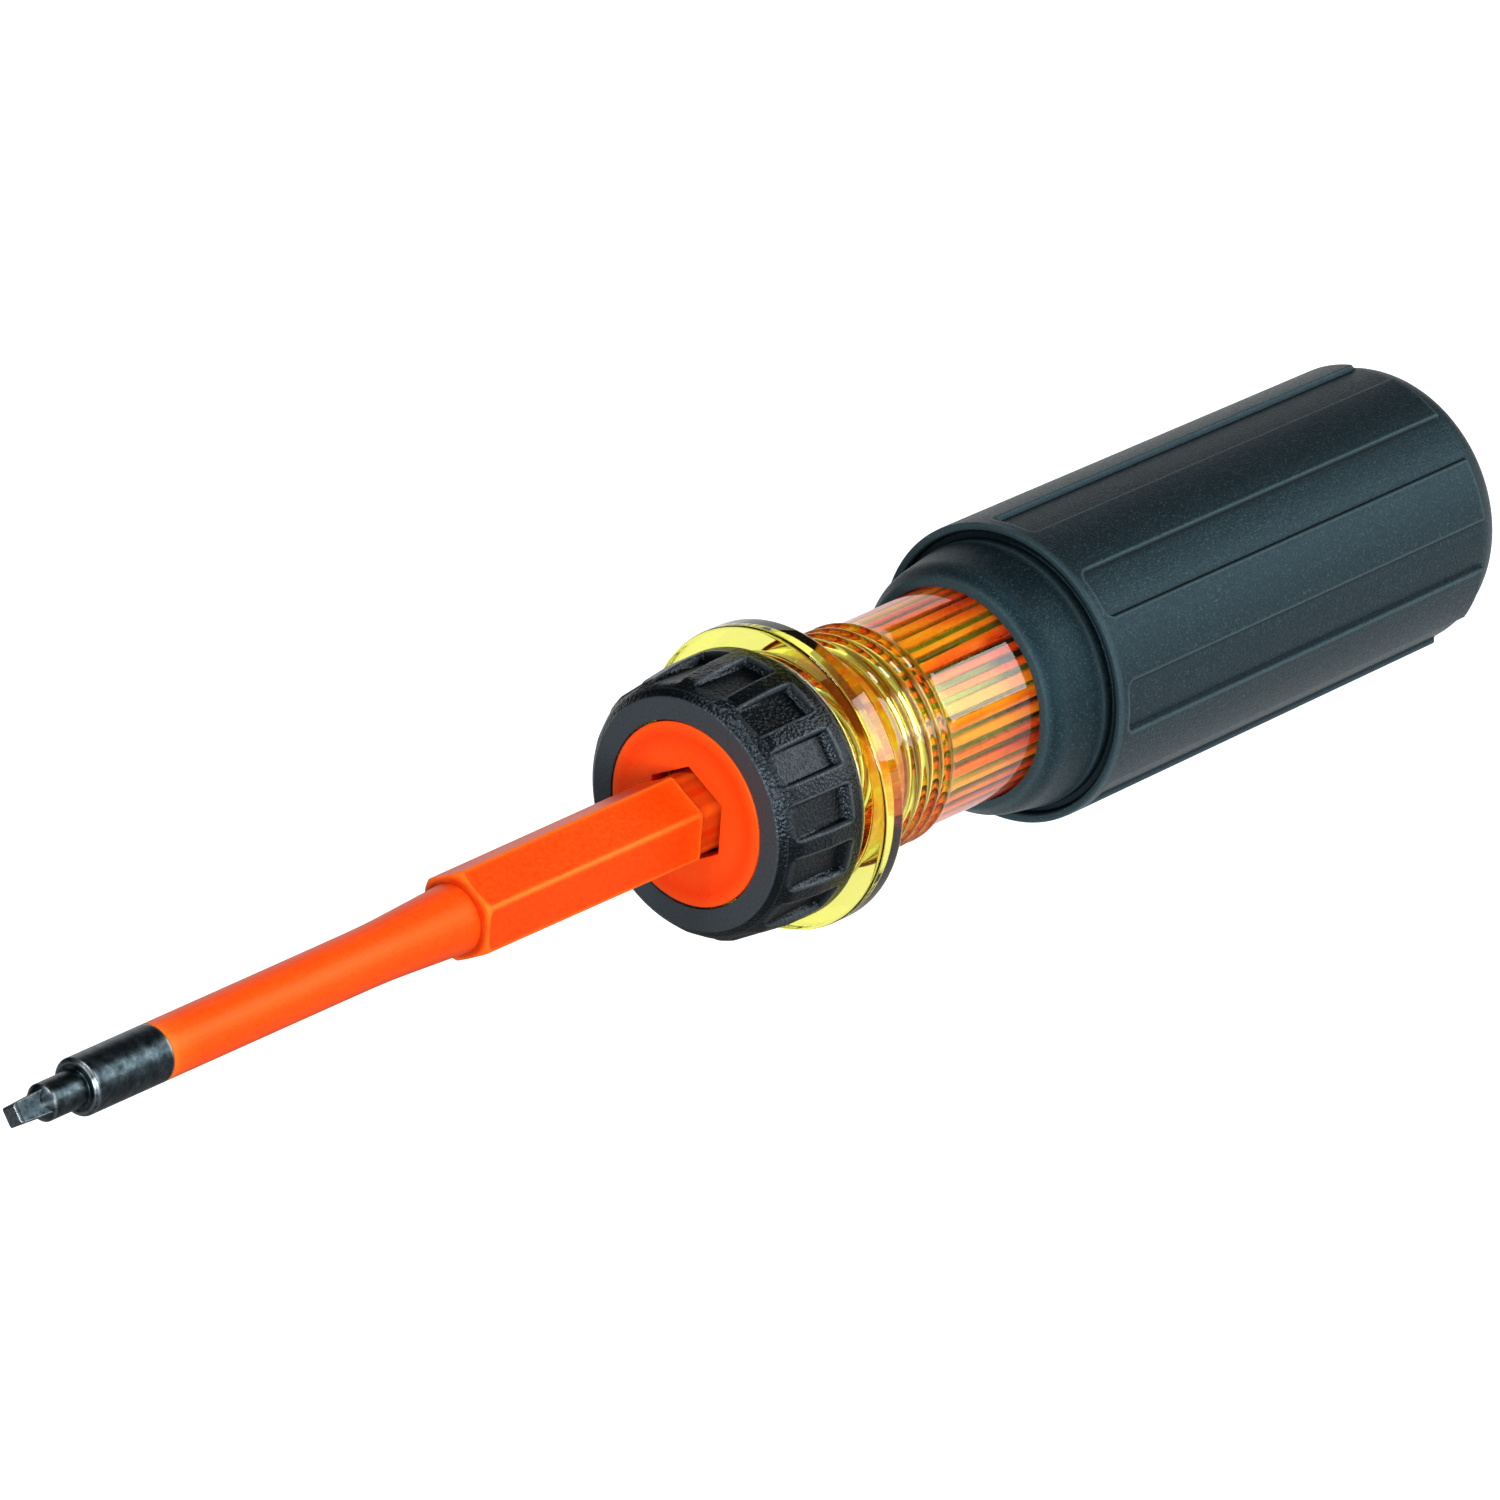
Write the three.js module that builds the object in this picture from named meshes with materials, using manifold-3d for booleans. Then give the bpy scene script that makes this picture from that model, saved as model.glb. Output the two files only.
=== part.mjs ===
// Insulated reversible-blade screwdriver, millimetres, +Z up.
// The tool lies along X, square tip toward +X, resting on the front rim of its cushion grip.
// Inside the nested group x = 0 is the front face of the locking collar, and every section is
// drawn about the X axis with angles measured from +Y toward +Z.
import * as THREE from 'three';
import * as BufferGeometryUtils from 'three/addons/utils/BufferGeometryUtils.js';
import Module from 'manifold-3d';

const wasm = await Module();
wasm.setup();

// ---------- driving dimensions ----------
const AXIS_HEIGHT = 16.0;          // axis above the surface the tool lies on
const COLLAR_FACE_X = 7.8;         // collar face measured from the middle of the 210 mm length

const BLADE_MID = -0.3;            // the blade is symmetric about this plane
const TIP_X = 97.2;                // end face of the square tip
const SQUARE_BASE_X = 93.5;
const FRONT_SQUARE = [2.5, 2.12, 1.7];   // side at the base, below the chamfer, at the end face
const REAR_SQUARE = [3.1, 2.72, 2.3];    // next drive size on the stored end
const SQUARE_FACE_ANGLE = 33;
const NOSE_R = 1.95;
const NOSE_BACK_X = 88.4;
const SHANK_R = 3.0;
const SHANK_BACK_X = 77.6;
const CORE_R = 2.2;

const SLEEVE_END_X = 77.5;
const SLEEVE_END_R = 3.0;
const SLEEVE_FLARE_X = 45.6;
const SLEEVE_FLARE_R = 3.02;
const SLEEVE_BASE_R = 3.67;
const HEX_END_X = 34.15;
const HEX_START_X = 2.2;
const HEX_AF_END = 8.6;
const HEX_AF_START = 8.8;
const HEX_VERTEX_ANGLE = 25;
const GROOVE_R = 4.25;
const SLEEVE_BORE_R = 2.75;
const UNDERLAYER_R = [2.3, 2.65];

const PLATE_R = 9.75;
const PLATE_THICK = 2.5;
const PLATE_HEX_AF = 9.2;
const PLATE_LEAD_AF = 9.4;

const COLLAR_R = 14.3;
const COLLAR_FACE_R = 12.1;
const COLLAR_REAR_X = -11.4;
const COLLAR_WEB = 3.1;
const COLLAR_BORE_R = 12.25;
const COLLAR_WINDOW_R = 9.9;
const FLUTES = 15;
const FLUTE_WIDTH = 3.9;
const FLUTE_FLOOR_R = 13.45;
const FLUTE_REAR_X = -9.0;
const FLUTE_PHASE = 33.7;

const RING_X = -8.0;
const RING_R = 12.2;
const RING_WIRE_R = 0.45;
const RING_GAP = 22;               // degrees left open

const SPIGOT_R = 12.0;
const SPIGOT_FRONT_X = -3.4;
const FLANGE_FRONT_X = -12.1;
const FLANGE_REAR_X = -15.1;
const FLANGE_R = 16.0;
const RIDGE_START_X = -21.2;
const RIDGE_PITCH = 1.75;
const RIDGES = 4;
const RIDGE_R = 11.9;
const RIDGE_GROOVE_R = 11.3;
const NECK_R = 11.2;
const OCTAGON_START_X = -47.0;
const OCTAGON_END_X = -104.0;
const OCTAGON_R = 12.9;
const CORE_REAR_X = -107.0;
const CORE_BORE_R = 8.95;
const CORE_BORE_END_X = -102.5;

const LINER_FRONT_X = -3.6;
const LINER_REAR_X = -102.0;
const LINER_R = 7.9;
const LINER_RIB_R = 8.7;
const LINER_RIBS = 36;
const LINER_HEX_AF = 9.5;
const LINER_HEX_END_X = -36.5;
const LINER_BORE_R = 4.2;
const LINER_BORE_END_X = -99.5;

const GRIP_LIP_X = -41.3;
const GRIP_RIM_X = -48.5;
const GRIP_R = 16.0;
const GRIP_REAR_R = 15.6;
const GRIP_PANEL_END_X = -108.3;
const GRIP_BUTT_X = -112.8;
const RECESS_DEPTH = 0.6;
const RECESS_START_X = -50.1;
const RECESS_ANGLE = 20.5;
const PANELS = 8;
const CAVITY_NECK_R = 11.4;
const CAVITY_OCTAGON_R = 13.15;
const CAVITY_START_X = -46.6;
const CAVITY_END_X = -107.6;

// ---------- helpers ----------
const DEG = Math.PI / 180;
const axialFromShape = new THREE.Matrix4().makeBasis(
  new THREE.Vector3(0, 1, 0), new THREE.Vector3(0, 0, 1), new THREE.Vector3(1, 0, 0));
const axialFromLathe = new THREE.Matrix4().makeBasis(
  new THREE.Vector3(0, 0, 1), new THREE.Vector3(1, 0, 0), new THREE.Vector3(0, 1, 0));

function toSolid(geometry) {
  const g = geometry.clone();
  for (const name of Object.keys(g.attributes)) if (name !== 'position') g.deleteAttribute(name);
  const merged = BufferGeometryUtils.mergeVertices(g, 1e-4);
  const p = merged.attributes.position;
  const index = [];
  let volume = 0;
  const a = new THREE.Vector3(), b = new THREE.Vector3(), c = new THREE.Vector3();
  for (let i = 0; i < merged.index.count; i += 3) {
    const t = [0, 1, 2].map((k) => merged.index.getX(i + k));
    if (t[0] === t[1] || t[1] === t[2] || t[2] === t[0]) continue;
    a.fromBufferAttribute(p, t[0]); b.fromBufferAttribute(p, t[1]); c.fromBufferAttribute(p, t[2]);
    volume += a.dot(b.cross(c)) / 6;
    index.push(...t);
  }
  if (volume < 0) for (let i = 0; i < index.length; i += 3) [index[i], index[i + 1]] = [index[i + 1], index[i]];
  return new wasm.Manifold(new wasm.Mesh({
    numProp: 3,
    vertProperties: new Float32Array(p.array),
    triVerts: new Uint32Array(index),
  }));
}

function fromSolid(solid) {
  const m = solid.getMesh();
  const g = new THREE.BufferGeometry();
  g.setAttribute('position', new THREE.BufferAttribute(new Float32Array(m.vertProperties), 3));
  g.setIndex(new THREE.BufferAttribute(new Uint32Array(m.triVerts), 1));
  g.computeVertexNormals();
  return g;
}

// Solid of revolution about X. The profile is a list of [x, radius].
function turned(profile, sides = 48, phase = 0) {
  const points = profile.map(([x, r]) => new THREE.Vector2(r, x));
  return toSolid(new THREE.LatheGeometry(points, sides, phase * DEG, Math.PI * 2).applyMatrix4(axialFromLathe));
}

// Straight-sided bar of revolution between two x positions, closed on the axis.
const rod = (x0, r0, x1, r1, sides = 48, phase = 0) =>
  turned([[x0, 0], [x0, r0], [x1, r1], [x1, 0]], sides, phase);

// Prism along X of a section drawn in the YZ plane.
function prism(shape, x0, x1) {
  return toSolid(new THREE.ExtrudeGeometry(shape, { depth: x1 - x0, bevelEnabled: false, curveSegments: 8 })
    .applyMatrix4(axialFromShape).translate(x0, 0, 0));
}

function sector(r0, r1, a0, a1) {
  const s = new THREE.Shape();
  s.absarc(0, 0, r1, a0 * DEG, a1 * DEG, false);
  s.absarc(0, 0, r0, a1 * DEG, a0 * DEG, true);
  s.closePath();
  return s;
}

const hexRadius = (acrossFlats) => acrossFlats / Math.sqrt(3);
const mirrorX = (x) => 2 * BLADE_MID - x;
const mirrored = (profile) => profile.map(([x, r]) => [mirrorX(x), r]).reverse();

// ---------- materials ----------
const plastic = (color, roughness) => new THREE.MeshStandardMaterial({ color, roughness, metalness: 0 });
const steel = new THREE.MeshStandardMaterial({ color: 0x34363a, roughness: 0.42, metalness: 0.9 });
const springSteel = new THREE.MeshStandardMaterial({ color: 0x9a9ca0, roughness: 0.3, metalness: 1 });
const orange = plastic(0xff5a19, 0.35);
const white = plastic(0xf2efe6, 0.5);
const black = plastic(0x17191c, 0.55);
const rubber = plastic(0x2d373e, 0.8);
const amber = new THREE.MeshStandardMaterial({
  color: 0xffb020, roughness: 0.12, metalness: 0, transparent: true, opacity: 0.55 });

// ---------- blade ----------
function squareTip([base, below, end]) {
  const r = (side) => side / Math.SQRT2;
  return [[SQUARE_BASE_X - 0.3, 0], [SQUARE_BASE_X - 0.3, r(base)], [TIP_X - 0.35, r(below)],
    [TIP_X, r(end)], [TIP_X, 0]];
}
const shaftFront = [
  [SHANK_BACK_X, CORE_R], [SHANK_BACK_X, SHANK_R], [NOSE_BACK_X - 0.35, SHANK_R],
  [NOSE_BACK_X, SHANK_R - 0.35], [NOSE_BACK_X, NOSE_R], [SQUARE_BASE_X - 0.3, NOSE_R],
  [SQUARE_BASE_X, NOSE_R - 0.3], [SQUARE_BASE_X, 0]];
const bladeShaft = turned([...mirrored(shaftFront), ...shaftFront], 32)
  .add(turned(squareTip(FRONT_SQUARE), 4, SQUARE_FACE_ANGLE + 45))
  .add(turned(mirrored(squareTip(REAR_SQUARE)), 4, SQUARE_FACE_ANGLE + 45));

const sleeveEnd = [[0, 0], [0, SLEEVE_BASE_R + 0.03], [HEX_END_X, SLEEVE_BASE_R], [SLEEVE_FLARE_X, SLEEVE_FLARE_R], [SLEEVE_END_X, SLEEVE_END_R], [SLEEVE_END_X, 0]];
const hexBar = turned([[HEX_START_X, 0], [HEX_START_X, hexRadius(HEX_AF_START)],
  [HEX_END_X, hexRadius(HEX_AF_END)], [HEX_END_X, 0]], 6, HEX_VERTEX_ANGLE);
const cornerCone = turned([[0, 0], [0, 6], [HEX_END_X - 2.4, 5.9], [HEX_END_X - 0.2, 4.25], [HEX_END_X, 3.8], [HEX_END_X, 0]], 48);
const hexFront = hexBar.intersect(cornerCone);
const hexRear = toSolid(fromSolid(hexFront).applyMatrix4(
  new THREE.Matrix4().makeScale(-1, 1, 1)).translate(2 * BLADE_MID, 0, 0));
const bladeSleeve = turned(sleeveEnd, 32)
  .add(turned(mirrored(sleeveEnd), 32))
  .add(rod(mirrorX(HEX_START_X + 0.5), GROOVE_R, HEX_START_X + 0.5, GROOVE_R, 32))
  .add(hexFront).add(hexRear)
  .subtract(rod(-120, SLEEVE_BORE_R, 120, SLEEVE_BORE_R, 32));

const bladeUnderlayer = turned([
  [SLEEVE_END_X - 0.1, UNDERLAYER_R[0]], [SLEEVE_END_X - 0.1, UNDERLAYER_R[1]],
  [mirrorX(SLEEVE_END_X - 0.1), UNDERLAYER_R[1]], [mirrorX(SLEEVE_END_X - 0.1), UNDERLAYER_R[0]],
  [SLEEVE_END_X - 0.1, UNDERLAYER_R[0]]], 32);

// ---------- locking collar ----------
const lockPlate = rod(-PLATE_THICK, PLATE_R, 0, PLATE_R)
  .subtract(rod(-PLATE_THICK - 1, hexRadius(PLATE_HEX_AF), 1, hexRadius(PLATE_HEX_AF), 6, HEX_VERTEX_ANGLE))
  .subtract(turned([[-0.25, 0], [-0.25, hexRadius(PLATE_HEX_AF)], [0, hexRadius(PLATE_LEAD_AF)],
    [0.5, hexRadius(PLATE_LEAD_AF)], [0.5, 0]], 6, HEX_VERTEX_ANGLE));

let collarRing = turned([
  [0, COLLAR_WINDOW_R], [0, COLLAR_FACE_R], [-1.8, COLLAR_R - 0.4], [-3.2, COLLAR_R - 0.1],
  [-6, COLLAR_R], [COLLAR_REAR_X + 0.5, COLLAR_R], [COLLAR_REAR_X, COLLAR_R - 0.5],
  [COLLAR_REAR_X, COLLAR_BORE_R], [RING_X - 0.65, COLLAR_BORE_R], [RING_X - 0.65, COLLAR_BORE_R + 0.6],
  [RING_X + 0.65, COLLAR_BORE_R + 0.6], [RING_X + 0.65, COLLAR_BORE_R],
  [-COLLAR_WEB, COLLAR_BORE_R], [-COLLAR_WEB, COLLAR_WINDOW_R], [0, COLLAR_WINDOW_R]], 60, FLUTE_PHASE);
for (let i = 0; i < FLUTES; i += 1) {
  const cutter = toSolid(new THREE.BoxGeometry(1 - FLUTE_REAR_X, 4, FLUTE_WIDTH)
    .translate((1 + FLUTE_REAR_X) / 2, FLUTE_FLOOR_R + 2, 0)
    .rotateX((FLUTE_PHASE + i * 360 / FLUTES) * DEG));
  collarRing = collarRing.subtract(cutter);
}
collarRing = collarRing.add(prism(sector(10.2, 11.9, -6, 6), -COLLAR_WEB - 1.8, -COLLAR_WEB + 0.2));

const ringArc = new THREE.CatmullRomCurve3(Array.from({ length: 33 }, (_, i) => {
  const a = (90 + RING_GAP / 2 + (360 - RING_GAP) * i / 32) * DEG;
  return new THREE.Vector3(RING_X, RING_R * Math.cos(a), RING_R * Math.sin(a));
}));
const wireSection = new THREE.Shape(Array.from({ length: 8 }, (_, i) =>
  new THREE.Vector2(RING_WIRE_R * Math.cos(i * Math.PI / 4), RING_WIRE_R * Math.sin(i * Math.PI / 4))));
const retainingRing = toSolid(new THREE.ExtrudeGeometry(wireSection, {
  steps: 40, bevelEnabled: false, extrudePath: ringArc }));

// Three-wave washer held in the gap between collar and flange.
const washerMid = (COLLAR_REAR_X + FLANGE_FRONT_X) / 2;
const washerGeometry = new THREE.LatheGeometry([
  [washerMid - 0.13, 12.2], [washerMid - 0.13, 13.6], [washerMid + 0.13, 13.6],
  [washerMid + 0.13, 12.2], [washerMid - 0.13, 12.2]].map(([x, r]) => new THREE.Vector2(r, x)), 48)
  .applyMatrix4(axialFromLathe);
{
  const p = washerGeometry.attributes.position;
  for (let i = 0; i < p.count; i += 1) {
    const a = Math.atan2(p.getZ(i), p.getY(i));
    p.setX(i, p.getX(i) + 0.13 * Math.cos(3 * a));
  }
}
const springWasher = toSolid(washerGeometry);

// ---------- handle ----------
const ridgeProfile = [];
for (let i = 0; i < RIDGES; i += 1) {
  const x = RIDGE_START_X - i * RIDGE_PITCH;
  ridgeProfile.push([x, RIDGE_GROOVE_R], [x - 0.35, RIDGE_R], [x - 1.25, RIDGE_R], [x - 1.6, RIDGE_GROOVE_R]);
}
const handleCore = turned([
  [SPIGOT_FRONT_X, CORE_BORE_R], [SPIGOT_FRONT_X, SPIGOT_R - 0.3], [SPIGOT_FRONT_X - 0.3, SPIGOT_R],
  [RING_X + 0.65, SPIGOT_R], [RING_X + 0.65, SPIGOT_R - 0.45], [RING_X - 0.65, SPIGOT_R - 0.45],
  [RING_X - 0.65, SPIGOT_R], [FLANGE_FRONT_X, SPIGOT_R], [FLANGE_FRONT_X, FLANGE_R - 0.35],
  [FLANGE_FRONT_X - 0.35, FLANGE_R], [FLANGE_REAR_X + 0.35, FLANGE_R], [FLANGE_REAR_X, FLANGE_R - 0.35],
  [FLANGE_REAR_X, 12.6], [-20.4, 11.4], ...ridgeProfile, [-29.0, NECK_R], [OCTAGON_START_X - 0.5, NECK_R],
  [OCTAGON_START_X - 0.5, CORE_BORE_R], [SPIGOT_FRONT_X, CORE_BORE_R]], 48)
  .add(turned([[OCTAGON_START_X, 0], [OCTAGON_START_X, OCTAGON_R], [OCTAGON_END_X, OCTAGON_R],
    [CORE_REAR_X, OCTAGON_R - 2.2], [CORE_REAR_X, 0]], PANELS, 22.5))
  .subtract(rod(CORE_BORE_END_X, CORE_BORE_R, OCTAGON_START_X + 1, CORE_BORE_R))
  .subtract(prism(sector(8.5, 12.4, -7, 37), SPIGOT_FRONT_X - 1.9, SPIGOT_FRONT_X + 0.5));

const ribbed = new THREE.Shape(Array.from({ length: LINER_RIBS * 4 }, (_, i) => {
  const pitch = 360 / LINER_RIBS;
  const a = (Math.floor(i / 4) * pitch + [-0.25, -0.2, 0.2, 0.25][i % 4] * pitch) * DEG;
  const r = [LINER_R, LINER_RIB_R, LINER_RIB_R, LINER_R][i % 4];
  return new THREE.Vector2(r * Math.cos(a), r * Math.sin(a));
}));
const socketLiner = prism(ribbed, LINER_REAR_X, LINER_FRONT_X)
  .subtract(rod(LINER_HEX_END_X, hexRadius(LINER_HEX_AF), 0, hexRadius(LINER_HEX_AF), 6, HEX_VERTEX_ANGLE))
  .subtract(rod(LINER_BORE_END_X, LINER_BORE_R, LINER_HEX_END_X + 1, LINER_BORE_R, 32));

const gripOuter = [[GRIP_LIP_X, 0], [GRIP_LIP_X, 11.9], [GRIP_LIP_X - 0.9, 12.95], [-43.6, 13.5],
  [GRIP_RIM_X, 14.2], [GRIP_RIM_X, GRIP_R - 0.45], [GRIP_RIM_X - 0.15, GRIP_R - 0.12], [GRIP_RIM_X - 0.5, GRIP_R],
  [RECESS_START_X - 1, GRIP_R], [GRIP_PANEL_END_X + 0.3, GRIP_REAR_R], [GRIP_PANEL_END_X, GRIP_REAR_R - 0.3],
  [GRIP_PANEL_END_X, GRIP_REAR_R - RECESS_DEPTH]];
for (let i = 1; i <= 5; i += 1) {
  const a = i * 18 * DEG;
  gripOuter.push([GRIP_PANEL_END_X - 4.5 * Math.sin(a), GRIP_REAR_R - RECESS_DEPTH - 4.5 * (1 - Math.cos(a))]);
}
gripOuter[gripOuter.length - 1][0] = GRIP_BUTT_X;
gripOuter.push([GRIP_BUTT_X, 0]);
let cushionGrip = turned(gripOuter, 48);
const recessShell = turned([[RECESS_START_X, 18], [RECESS_START_X, GRIP_R - RECESS_DEPTH],
  [GRIP_PANEL_END_X - 0.05, GRIP_REAR_R - RECESS_DEPTH], [GRIP_PANEL_END_X - 0.05, 18], [RECESS_START_X, 18]], 48);
for (let i = 0; i < PANELS; i += 1) {
  const mid = i * 360 / PANELS;
  cushionGrip = cushionGrip.subtract(recessShell.intersect(
    prism(sector(13, 19, mid - RECESS_ANGLE / 2, mid + RECESS_ANGLE / 2), -112, -50)));
}
cushionGrip = cushionGrip
  .subtract(rod(CAVITY_START_X - 1, CAVITY_NECK_R, GRIP_LIP_X + 1, CAVITY_NECK_R))
  .subtract(rod(CAVITY_END_X, CAVITY_OCTAGON_R, CAVITY_START_X, CAVITY_OCTAGON_R, PANELS, 22.5));

// ---------- assembly ----------
const screwdriver = new THREE.Group();
const tool = new THREE.Group();
tool.position.set(COLLAR_FACE_X, 0, AXIS_HEIGHT);
screwdriver.add(tool);

function part(parent, name, solid, material) {
  const mesh = new THREE.Mesh(fromSolid(solid), material);
  mesh.name = name;
  parent.add(mesh);
}
const handle = new THREE.Group();
const lockCollar = new THREE.Group();
const blade = new THREE.Group();
tool.add(handle, lockCollar, blade);

part(handle, 'handle_core', handleCore, amber);
part(handle, 'cushion_grip', cushionGrip, rubber);
part(handle, 'socket_liner', socketLiner, orange);
part(handle, 'collar_retaining_ring', retainingRing, springSteel);
part(handle, 'spring_washer', springWasher, springSteel);
part(lockCollar, 'collar_ring', collarRing, black);
part(lockCollar, 'lock_plate', lockPlate, orange);
part(blade, 'blade_shaft', bladeShaft, steel);
part(blade, 'blade_underlayer', bladeUnderlayer, white);
part(blade, 'blade_sleeve', bladeSleeve, orange);

export default screwdriver;
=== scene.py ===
import math
import bpy
import numpy as np
from mathutils import Matrix, Vector


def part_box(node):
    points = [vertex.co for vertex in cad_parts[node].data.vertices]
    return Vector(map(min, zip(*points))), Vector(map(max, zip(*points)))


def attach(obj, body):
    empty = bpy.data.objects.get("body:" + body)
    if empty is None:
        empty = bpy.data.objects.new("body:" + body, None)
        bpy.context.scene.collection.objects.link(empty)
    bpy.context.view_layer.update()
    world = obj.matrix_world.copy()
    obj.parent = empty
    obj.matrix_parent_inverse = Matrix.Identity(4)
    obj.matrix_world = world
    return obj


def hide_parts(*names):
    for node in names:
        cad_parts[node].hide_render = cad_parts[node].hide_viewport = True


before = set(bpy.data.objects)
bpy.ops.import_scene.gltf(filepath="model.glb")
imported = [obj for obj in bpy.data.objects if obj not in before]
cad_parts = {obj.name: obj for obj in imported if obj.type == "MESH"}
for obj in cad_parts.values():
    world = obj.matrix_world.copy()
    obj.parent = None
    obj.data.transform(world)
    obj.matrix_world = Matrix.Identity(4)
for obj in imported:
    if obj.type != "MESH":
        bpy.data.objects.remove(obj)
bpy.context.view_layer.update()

MM = 0.001
X0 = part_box("collar_ring")[1].x                    # collar face, local x = 0
_glo, _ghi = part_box("cushion_grip")
ZC = (_glo.z + _ghi.z) / 2                         # tool axis height
YC = (_glo.y + _ghi.y) / 2

# ------------------------------------------------------------------ camera
CAM_AZ, CAM_EL = math.radians(41.159), math.radians(22.934)
CAM_F = 16000.0                                    # focal length for a 1500 unit wide frame
CAM_DIST = 1.59439                                 # m, from the collar face
CAM_AT = (684.7, 814.8)                           # where the collar face centre lands in that frame
c = Vector((math.cos(CAM_EL) * math.cos(CAM_AZ), math.cos(CAM_EL) * math.sin(CAM_AZ), math.sin(CAM_EL)))
fwd = -c
right = fwd.cross(Vector((0, 0, 1))).normalized()
up = right.cross(fwd).normalized()
ox = (CAM_AT[0] - 750) / CAM_F * CAM_DIST
oy = (750 - CAM_AT[1]) / CAM_F * CAM_DIST
cam_data = bpy.data.cameras.new("camera")
cam_data.sensor_width = 36.0
cam_data.lens = CAM_F * 36.0 / 1500.0
cam_data.clip_start = 0.05
cam_data.clip_end = 60.0
cam = bpy.data.objects.new("camera", cam_data)
bpy.context.scene.collection.objects.link(cam)
centre = Vector((X0, YC, ZC)) + c * CAM_DIST - right * ox - up * oy
rot = Matrix((right, up, c)).transposed()
cam.matrix_world = Matrix.Translation(centre) @ rot.to_4x4()
bpy.context.scene.camera = cam


# ------------------------------------------------------------------ mesh helpers
def fillet(points, seg=4, closed=False):
    """[(x, r, fillet radius)] to a list of [x, r] with its corners rounded."""
    out = []
    n = len(points)
    for i, pt in enumerate(points):
        f = pt[2] if len(pt) > 2 else 0.0
        p = np.array(pt[:2], float)
        if f <= 0 or (not closed and i in (0, n - 1)):
            out.append(p)
            continue
        a = np.array(points[i - 1][:2], float) - p
        b = np.array(points[(i + 1) % n][:2], float) - p
        la, lb = np.linalg.norm(a), np.linalg.norm(b)
        a, b = a / la, b / lb
        ang = math.acos(max(-1.0, min(1.0, float(a @ b))))
        t = min(f / max(math.tan(ang / 2), 1e-3), 0.48 * la, 0.48 * lb)
        for k in range(seg + 1):
            s = k / seg
            out.append((1 - s) ** 2 * (p + a * t) + 2 * s * (1 - s) * p + s * s * (p + b * t))
    return np.array(out)


def densify(profile, step):
    """Adds points so that no span along x or r is longer than step."""
    out = [profile[0]]
    for p, q in zip(profile[:-1], profile[1:]):
        n = max(1, int(math.ceil(np.linalg.norm(q - p) / step)))
        for k in range(1, n + 1):
            out.append(p + (q - p) * k / n)
    return np.array(out)


def angles_around(edges, half, fine, coarse):
    """Angles in degrees, dense within half of each edge and coarse between."""
    marks = set()
    for e in edges:
        k = int(round(half / fine))
        for i in range(-k, k + 1):
            marks.add(round((e + i * fine) % 360, 5))
    marks = sorted(marks)
    out = []
    for a, b in zip(marks, marks[1:] + [marks[0] + 360]):
        n = max(1, int(math.ceil((b - a) / coarse - 1e-6)))
        out += [(a + (b - a) * k / n) % 360 for k in range(n)]
    return np.array(sorted(out))


def smooth(t):
    t = np.clip(t, 0, 1)
    return t * t * (3 - 2 * t)


def polygon_radius(theta, sides, inradius, vertex_deg, p=60.0):
    """Radius of a regular polygon at angles theta (degrees), corners slightly rounded."""
    step = 360.0 / sides
    d = (theta - vertex_deg) % step
    lo = inradius / np.cos(np.radians(step / 2 - d))
    nb1 = inradius / np.maximum(np.cos(np.radians(step / 2 + d)), 0.2)
    nb2 = inradius / np.maximum(np.cos(np.radians(step * 1.5 - d)), 0.2)
    return (lo ** -p + nb1 ** -p + nb2 ** -p) ** (-1.0 / p)


def add_wear_highlight_shade_masks(me, blur=1, gain=1.0):
    """Vertex attribute 'edge': how sharply convex the surface is there, and 'hollow' for concave; the materials use
    'edge' for painted edge highlights (edge wear on the steel) and 'hollow' for painted shade.
    """
    nv, ne = len(me.vertices), len(me.edges)
    co = np.zeros(nv * 3, np.float64); me.vertices.foreach_get("co", co); co = co.reshape(-1, 3)
    no = np.zeros(nv * 3, np.float64); me.vertices.foreach_get("normal", no); no = no.reshape(-1, 3)
    ed = np.zeros(ne * 2, np.int64); me.edges.foreach_get("vertices", ed); ed = ed.reshape(-1, 2)
    a, b = ed[:, 0], ed[:, 1]
    d = co[b] - co[a]
    ln = np.maximum(np.linalg.norm(d, axis=1), 1e-9)
    curv = np.einsum("ij,ij->i", no[b] - no[a], d) / ln / ln     # 1/m
    acc = np.full(nv, 0.0); cav = np.full(nv, 0.0)
    np.maximum.at(acc, a, curv); np.maximum.at(acc, b, curv)
    np.minimum.at(cav, a, curv); np.minimum.at(cav, b, curv)
    for _ in range(blur):
        s = np.zeros(nv); s2 = np.zeros(nv); n = np.zeros(nv)
        np.add.at(s, a, acc[b]); np.add.at(s, b, acc[a])
        np.add.at(s2, a, cav[b]); np.add.at(s2, b, cav[a])
        np.add.at(n, a, 1); np.add.at(n, b, 1)
        acc = 0.5 * acc + 0.5 * s / np.maximum(n, 1)
        cav = 0.5 * cav + 0.5 * s2 / np.maximum(n, 1)
    for name, v in (("edge", np.clip(acc * gain / 1500.0, 0, 1)), ("hollow", np.clip(-cav * gain / 1500.0, 0, 1))):
        at = me.attributes.new(name, "FLOAT", "POINT")
        at.data.foreach_set("value", v.astype(np.float32))


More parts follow.
